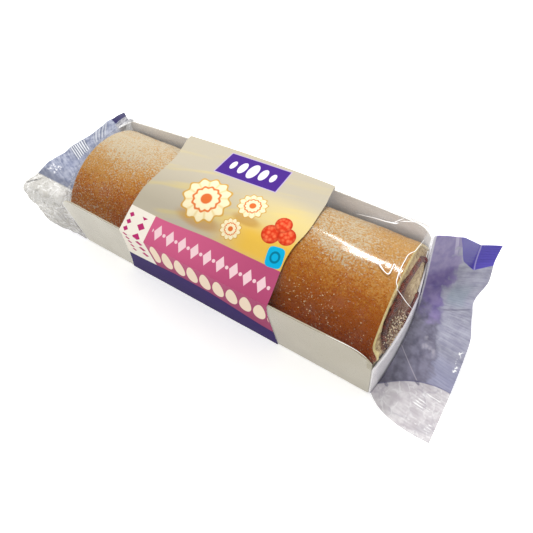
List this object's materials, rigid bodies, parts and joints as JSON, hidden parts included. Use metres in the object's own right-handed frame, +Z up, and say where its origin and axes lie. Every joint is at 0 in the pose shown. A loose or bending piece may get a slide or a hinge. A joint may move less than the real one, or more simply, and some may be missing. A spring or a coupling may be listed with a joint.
{
  "type": "packed raspberry swiss roll",
  "caption": "Sponge roll with a jam spiral in an open card tray, flow-wrapped in clear film with a printed band and flat crimped end fins.",
  "frame": {"origin": "on the table under the middle of the tray", "axes": "+X along the roll towards the end that shows its cut face, -Y out of the tray's front wall, +Z up"},
  "size_m": [0.2913, 0.1144, 0.0656],
  "materials": {
    "film": "clear gloss packing film over the card and the sponge",
    "print": "printed gloss film",
    "card": "uncoated pale grey card",
    "sponge": "baked sponge crust, dusted with sugar",
    "jam": "dark glossy raspberry jam"
  },
  "bodies": {
    "root": {"film_wrap": "film"}
  },
  "joints": []
}
